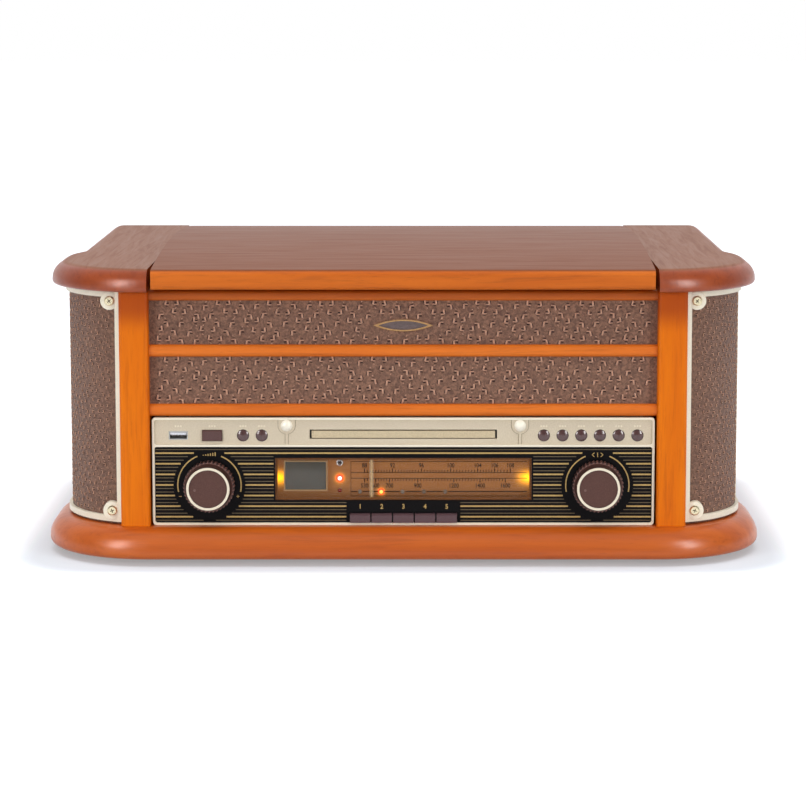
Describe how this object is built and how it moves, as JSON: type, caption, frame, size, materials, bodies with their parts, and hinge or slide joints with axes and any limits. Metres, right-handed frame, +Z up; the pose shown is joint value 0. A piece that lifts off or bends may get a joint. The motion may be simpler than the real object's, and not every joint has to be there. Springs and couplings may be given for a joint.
{
  "type": "stereo music centre",
  "caption": "Retro wooden music centre with lift-up turntable lid, curved cloth-covered corner speakers, dial radio, disc drawer and side cassette slot.",
  "frame": {"origin": "on the table, under the middle of the base", "axes": "+X to the right seen from the front, +Y from the front to the back, +Z up"},
  "size_m": [0.522, 0.362, 0.2204],
  "materials": {
    "lacquered_wood": "glossy lacquer over stained veneer",
    "back_board": "dark painted fibreboard",
    "rubber": "matt",
    "speaker_cloth": "woven jacquard cloth",
    "brass_trim": "satin",
    "champagne_plastic": "satin metallic paint",
    "steel": "nickel plated",
    "black_plastic": "satin",
    "pearl_plastic": "pearl",
    "tinted_window": "clear amber",
    "dial_scale": "printed amber scale",
    "display_glass": "dark display",
    "lamp_plastic": "clear red",
    "cord": "twisted cord",
    "brown_plastic": "satin",
    "circuit_board": "satin",
    "transformer_steel": "dark lacquer"
  },
  "bodies": {
    "cabinet": {"base_board": "lacquered_wood", "top_wings": "lacquered_wood", "posts": "lacquered_wood", "side_panels": "lacquered_wood", "front_rails": "lacquered_wood", "back_panel": "back_board", "speaker_boxes": "back_board", "feet": "rubber", "drive_belt": "rubber", "front_cloth_panels": "speaker_cloth", "grille_cloths": "speaker_cloth", "badge": "brass_trim", "grille_frames": "champagne_plastic", "fascia": "champagne_plastic", "grille_screws": "steel", "speakers": "black_plastic", "fascia_studs": "pearl_plastic", "dial_panel": "black_plastic", "dial_window": "tinted_window", "dial_plate": "dial_scale", "display": "display_glass", "indicator_lights": "lamp_plastic", "dial_cord": "cord", "front_board": "circuit_board", "cd_mechanism": "black_plastic", "deck_plate": "black_plastic", "turntable_motor": "steel", "cabinet_hinge_leaves": "steel", "cassette_mechanism": "black_plastic", "transformer": "transformer_steel", "rear_sockets": "black_plastic"},
    "lid": {"lid": "lacquered_wood", "lid_hinge_leaves": "steel", "lid_stay": "steel"},
    "platter": {"platter": "black_plastic", "platter_mat": "rubber"},
    "motor_pulley": {"motor_pulley": "brass_trim"},
    "tonearm_gimbal": {"tonearm_gimbal": "black_plastic"},
    "tonearm": {"tonearm": "black_plastic"},
    "speed_selector": {"speed_selector": "champagne_plastic"},
    "cd_drawer": {"cd_drawer": "champagne_plastic"},
    "volume_knob": {"volume_knob": "brown_plastic"},
    "tuning_knob": {"tuning_knob": "brown_plastic"},
    "pointer": {"pointer": "brass_trim"},
    "power_button": {"power_button": "brown_plastic"},
    "cassette_flap": {"cassette_flap": "black_plastic"},
    "cassette_key": {"cassette_key": "brown_plastic"},
    "function_key_1": {"function_key_1": "brown_plastic"},
    "function_key_2": {"function_key_2": "brown_plastic"},
    "function_key_3": {"function_key_3": "brown_plastic"},
    "function_key_4": {"function_key_4": "brown_plastic"},
    "function_key_5": {"function_key_5": "brown_plastic"},
    "left_button_1": {"left_button_1": "brown_plastic"},
    "left_button_2": {"left_button_2": "brown_plastic"},
    "right_button_1": {"right_button_1": "brown_plastic"},
    "right_button_2": {"right_button_2": "brown_plastic"},
    "right_button_3": {"right_button_3": "brown_plastic"},
    "right_button_4": {"right_button_4": "brown_plastic"},
    "right_button_5": {"right_button_5": "brown_plastic"},
    "right_button_6": {"right_button_6": "brown_plastic"}
  },
  "joints": [
    {"name": "lid_hinge", "type": "hinge", "parent": "cabinet", "child": "lid", "pos_m": [0, 0.178, 0.1975], "axis": [-1, 0, 0], "range_deg": [0, 60]},
    {"name": "platter_spin", "type": "hinge", "parent": "cabinet", "child": "platter", "pos_m": [-0.022, -0.008, 0.17], "axis": [0, 0, -1], "continuous": true},
    {"name": "pulley_spin", "type": "hinge", "parent": "cabinet", "child": "motor_pulley", "pos_m": [-0.0814, 0.0514, 0.15], "axis": [0, 0, -1], "continuous": true},
    {"name": "tonearm_swing", "type": "hinge", "parent": "cabinet", "child": "tonearm_gimbal", "pos_m": [0.148, 0.1, 0.18], "axis": [0, 0, -1], "range_deg": [0, 42]},
    {"name": "tonearm_lift", "type": "hinge", "parent": "tonearm_gimbal", "child": "tonearm", "pos_m": [0.148, 0.1, 0.19], "axis": [-1, 0, 0], "range_deg": [0, 3]},
    {"name": "speed_slide", "type": "slide", "parent": "cabinet", "child": "speed_selector", "axis": [1, 0, 0], "range_m": [-0.008, 0.008]},
    {"name": "drawer_slide", "type": "slide", "parent": "cabinet", "child": "cd_drawer", "axis": [0, -1, 0], "range_m": [0, 0.13]},
    {"name": "volume_turn", "type": "hinge", "parent": "cabinet", "child": "volume_knob", "pos_m": [-0.1393, -0.16, 0.0553], "axis": [0, 1, 0], "range_deg": [-150, 150]},
    {"name": "tuning_turn", "type": "hinge", "parent": "cabinet", "child": "tuning_knob", "pos_m": [0.1393, -0.16, 0.0553], "axis": [0, 1, 0], "range_deg": [-57, 1145]},
    {"name": "pointer_slide", "type": "slide", "parent": "cabinet", "child": "pointer", "axis": [1, 0, 0], "range_m": [-0.005, 0.1]},
    {"name": "power_press", "type": "slide", "parent": "cabinet", "child": "power_button", "axis": [0, 1, 0], "range_m": [0, 0.0012], "stiffness_N_per_m": 600, "springref_m": -0.002},
    {"name": "flap_hinge", "type": "hinge", "parent": "cabinet", "child": "cassette_flap", "pos_m": [0.2342, -0.0085, 0.1524], "axis": [0, 1, 0], "range_deg": [0, 75], "stiffness_Nm_per_rad": 0.004, "springref_deg": -34.38},
    {"name": "eject_press", "type": "slide", "parent": "cabinet", "child": "cassette_key", "axis": [-1, 0, 0], "range_m": [0, 0.004], "stiffness_N_per_m": 300, "springref_m": -0.003},
    {"name": "key_1_press", "type": "slide", "parent": "cabinet", "child": "function_key_1", "axis": [0, 1, 0], "range_m": [0, 0.003], "stiffness_N_per_m": 400, "springref_m": -0.003},
    {"name": "key_2_press", "type": "slide", "parent": "cabinet", "child": "function_key_2", "axis": [0, 1, 0], "range_m": [0, 0.003], "stiffness_N_per_m": 400, "springref_m": -0.003},
    {"name": "key_3_press", "type": "slide", "parent": "cabinet", "child": "function_key_3", "axis": [0, 1, 0], "range_m": [0, 0.003], "stiffness_N_per_m": 400, "springref_m": -0.003},
    {"name": "key_4_press", "type": "slide", "parent": "cabinet", "child": "function_key_4", "axis": [0, 1, 0], "range_m": [0, 0.003], "stiffness_N_per_m": 400, "springref_m": -0.003},
    {"name": "key_5_press", "type": "slide", "parent": "cabinet", "child": "function_key_5", "axis": [0, 1, 0], "range_m": [0, 0.003], "stiffness_N_per_m": 400, "springref_m": -0.003},
    {"name": "left_button_1_press", "type": "slide", "parent": "cabinet", "child": "left_button_1", "axis": [0, 1, 0], "range_m": [0, 0.0012], "stiffness_N_per_m": 600, "springref_m": -0.002},
    {"name": "left_button_2_press", "type": "slide", "parent": "cabinet", "child": "left_button_2", "axis": [0, 1, 0], "range_m": [0, 0.0012], "stiffness_N_per_m": 600, "springref_m": -0.002},
    {"name": "right_button_1_press", "type": "slide", "parent": "cabinet", "child": "right_button_1", "axis": [0, 1, 0], "range_m": [0, 0.0012], "stiffness_N_per_m": 600, "springref_m": -0.002},
    {"name": "right_button_2_press", "type": "slide", "parent": "cabinet", "child": "right_button_2", "axis": [0, 1, 0], "range_m": [0, 0.0012], "stiffness_N_per_m": 600, "springref_m": -0.002},
    {"name": "right_button_3_press", "type": "slide", "parent": "cabinet", "child": "right_button_3", "axis": [0, 1, 0], "range_m": [0, 0.0012], "stiffness_N_per_m": 600, "springref_m": -0.002},
    {"name": "right_button_4_press", "type": "slide", "parent": "cabinet", "child": "right_button_4", "axis": [0, 1, 0], "range_m": [0, 0.0012], "stiffness_N_per_m": 600, "springref_m": -0.002},
    {"name": "right_button_5_press", "type": "slide", "parent": "cabinet", "child": "right_button_5", "axis": [0, 1, 0], "range_m": [0, 0.0012], "stiffness_N_per_m": 600, "springref_m": -0.002},
    {"name": "right_button_6_press", "type": "slide", "parent": "cabinet", "child": "right_button_6", "axis": [0, 1, 0], "range_m": [0, 0.0012], "stiffness_N_per_m": 600, "springref_m": -0.002}
  ],
  "couplings": [
    {"joint": "pulley_spin", "follows": "platter_spin", "ratio": 13.281},
    {"joint": "pointer_slide", "follows": "tuning_turn", "m_per_rad": 0.005}
  ]
}
